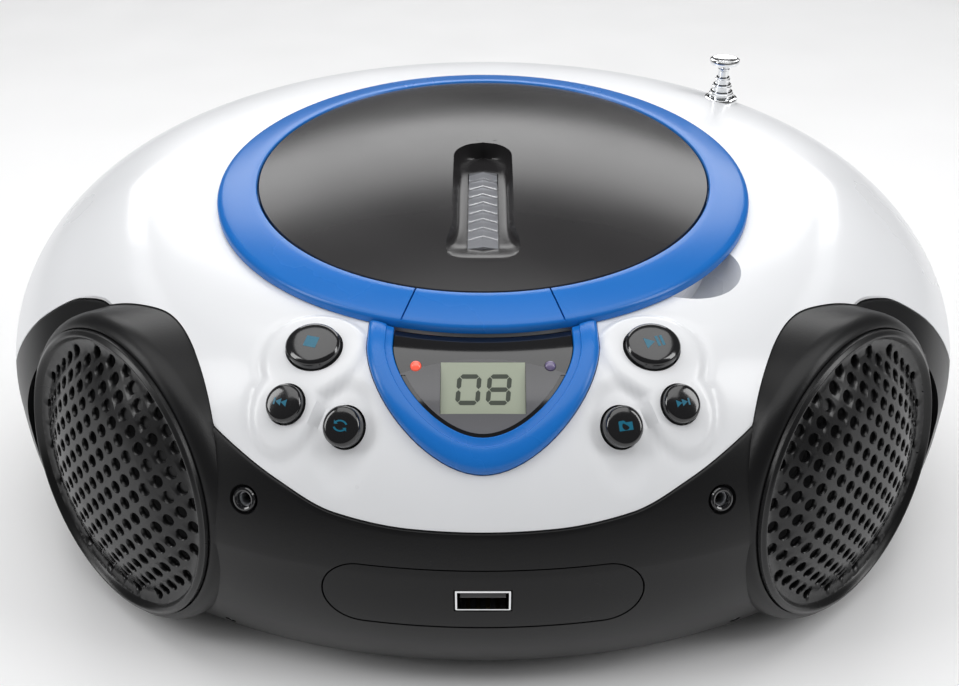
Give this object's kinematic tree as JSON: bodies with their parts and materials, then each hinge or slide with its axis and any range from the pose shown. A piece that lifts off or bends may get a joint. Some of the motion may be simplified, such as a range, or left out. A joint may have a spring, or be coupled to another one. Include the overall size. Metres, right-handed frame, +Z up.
{
  "type": "portable cd player",
  "caption": "Oval top-loading portable CD player with lift-up round lid, front display, press buttons, two front speakers, USB socket and telescopic antenna.",
  "frame": {"origin": "middle of the footprint, on the surface that the feet stand on", "axes": "+X right seen from the front, +Y back, +Z up"},
  "size_m": [0.284, 0.236, 0.1106],
  "materials": {
    "white_plastic": "satin white moulded plastic",
    "blue_plastic": "satin blue moulded plastic",
    "black_plastic": "fine satin black plastic",
    "dark_plastic": "moulded charcoal plastic",
    "dark_gloss": "glossy black plastic",
    "tinted_lens": "polished smoked window",
    "clear_plastic": "clear faceted acrylic",
    "lcd": "grey-green liquid crystal panel",
    "red_led": "red lamp",
    "violet_led": "unlit lamp",
    "chrome": "bright plating",
    "steel": "plain sheet steel",
    "circuit_board": "green circuit board",
    "rubber": "matt black rubber",
    "cone_paper": "treated paper cone"
  },
  "bodies": {
    "cabinet": {"base_shell": "black_plastic", "top_shell": "white_plastic", "disc_well": "dark_plastic", "usb_panel": "black_plastic", "usb_socket": "chrome", "headphone_jack": "black_plastic", "aux_jack": "black_plastic", "mains_inlet": "black_plastic", "power_transformer": "steel", "main_board": "circuit_board", "tuner_board": "circuit_board", "control_board": "circuit_board", "battery_contact_left": "steel", "battery_contact_right": "steel", "rubber_foot_front_left": "rubber", "rubber_foot_front_right": "rubber", "rubber_foot_rear_left": "rubber", "rubber_foot_rear_right": "rubber", "left_speaker_grille": "black_plastic", "left_speaker_basket": "steel", "right_speaker_grille": "black_plastic", "right_speaker_basket": "steel", "display_bezel": "blue_plastic", "display_lens": "tinted_lens", "lcd_panel": "lcd", "power_led": "red_led", "stereo_led": "violet_led", "volume_control": "steel", "tuning_capacitor": "steel", "function_switch_body": "steel", "mechanism_chassis": "dark_plastic", "spindle_motor": "steel", "guide_rod_left": "steel", "guide_rod_right": "steel", "sled_motor": "steel", "antenna_bushing": "chrome", "antenna_outer_tube": "chrome", "lid_hinge_pin": "steel"},
    "lid": {"lid_ring": "blue_plastic", "lid_plate": "dark_gloss", "lid_window": "clear_plastic"},
    "clamper": {"disc_clamper": "white_plastic"},
    "turntable": {"turntable": "dark_plastic"},
    "sled": {"laser_sled": "dark_plastic"},
    "leadscrew": {"sled_leadscrew": "steel"},
    "battery_door": {"battery_door": "black_plastic"},
    "volume_knob": {"volume_knob": "black_plastic"},
    "tuning_knob": {"tuning_knob": "black_plastic"},
    "function_switch": {"function_switch_knob": "black_plastic"},
    "antenna_two": {"antenna_section_two": "chrome"},
    "antenna_three": {"antenna_section_three": "chrome"},
    "antenna_tip": {"antenna_tip_rod": "chrome"},
    "left_cone": {"left_speaker_cone": "cone_paper"},
    "right_cone": {"right_speaker_cone": "cone_paper"},
    "stop_button": {"stop_button": "dark_gloss"},
    "previous_button": {"previous_button": "dark_gloss"},
    "program_button": {"program_button": "dark_gloss"},
    "play_button": {"play_button": "dark_gloss"},
    "next_button": {"next_button": "dark_gloss"},
    "folder_button": {"folder_button": "dark_gloss"}
  },
  "joints": [
    {"name": "lid_hinge", "type": "hinge", "parent": "cabinet", "child": "lid", "pos_m": [0, 0.06646, 0.09882], "axis": [-1, 0, 0], "range_deg": [0, 60]},
    {"name": "clamper_spin", "type": "hinge", "parent": "lid", "child": "clamper", "pos_m": [0, -0.007, 0.094], "axis": [0, -0.0872, 0.9962], "continuous": true},
    {"name": "turntable_spin", "type": "hinge", "parent": "cabinet", "child": "turntable", "pos_m": [0, -0.00622, 0.08503], "axis": [0, -0.0872, 0.9962], "continuous": true},
    {"name": "sled_slide", "type": "slide", "parent": "cabinet", "child": "sled", "axis": [0, -0.9962, -0.0872], "range_m": [0, 0.032]},
    {"name": "leadscrew_spin", "type": "hinge", "parent": "cabinet", "child": "leadscrew", "pos_m": [0.024, -0.03527, 0.07296], "axis": [0, 0.9962, 0.0872], "range_deg": [0, 3841]},
    {"name": "battery_door_slide", "type": "slide", "parent": "cabinet", "child": "battery_door", "axis": [0, 1, 0], "range_m": [0, 0.008]},
    {"name": "volume_turn", "type": "hinge", "parent": "cabinet", "child": "volume_knob", "pos_m": [-0.04874, 0.09982, 0.0627], "axis": [0, 0, 1], "range_deg": [0, 300]},
    {"name": "tuning_turn", "type": "hinge", "parent": "cabinet", "child": "tuning_knob", "pos_m": [0.04874, 0.09982, 0.0627], "axis": [0, 0, 1], "range_deg": [-150, 150]},
    {"name": "function_switch_slide", "type": "slide", "parent": "cabinet", "child": "function_switch", "axis": [1, 0, 0], "range_m": [0, 0.012]},
    {"name": "antenna_two_slide", "type": "slide", "parent": "cabinet", "child": "antenna_two", "axis": [0, 0, 1], "range_m": [0, 0.068]},
    {"name": "antenna_three_slide", "type": "slide", "parent": "antenna_two", "child": "antenna_three", "axis": [0, 0, 1], "range_m": [0, 0.068]},
    {"name": "antenna_tip_slide", "type": "slide", "parent": "antenna_three", "child": "antenna_tip", "axis": [0, 0, 1], "range_m": [0, 0.068]},
    {"name": "left_cone_throw", "type": "slide", "parent": "cabinet", "child": "left_cone", "axis": [-0.6497, -0.7474, 0.1392], "range_m": [-0.0008, 0.0008], "stiffness_N_per_m": 1500},
    {"name": "right_cone_throw", "type": "slide", "parent": "cabinet", "child": "right_cone", "axis": [0.6497, -0.7474, 0.1392], "range_m": [-0.0008, 0.0008], "stiffness_N_per_m": 1500},
    {"name": "stop_button_press", "type": "slide", "parent": "cabinet", "child": "stop_button", "axis": [0.1475, 0.4184, -0.8962], "range_m": [0, 0.0008], "stiffness_N_per_m": 600},
    {"name": "previous_button_press", "type": "slide", "parent": "cabinet", "child": "previous_button", "axis": [0.2335, 0.6821, -0.693], "range_m": [0, 0.0008], "stiffness_N_per_m": 600},
    {"name": "program_button_press", "type": "slide", "parent": "cabinet", "child": "program_button", "axis": [0.1684, 0.7493, -0.6405], "range_m": [0, 0.0008], "stiffness_N_per_m": 600},
    {"name": "play_button_press", "type": "slide", "parent": "cabinet", "child": "play_button", "axis": [-0.1476, 0.4183, -0.8962], "range_m": [0, 0.0008], "stiffness_N_per_m": 600},
    {"name": "next_button_press", "type": "slide", "parent": "cabinet", "child": "next_button", "axis": [-0.2335, 0.6821, -0.693], "range_m": [0, 0.0008], "stiffness_N_per_m": 600},
    {"name": "folder_button_press", "type": "slide", "parent": "cabinet", "child": "folder_button", "axis": [-0.1685, 0.7493, -0.6405], "range_m": [0, 0.0008], "stiffness_N_per_m": 600}
  ],
  "couplings": [
    {"joint": "leadscrew_spin", "follows": "sled_slide", "rad_per_m": 2094.4}
  ]
}
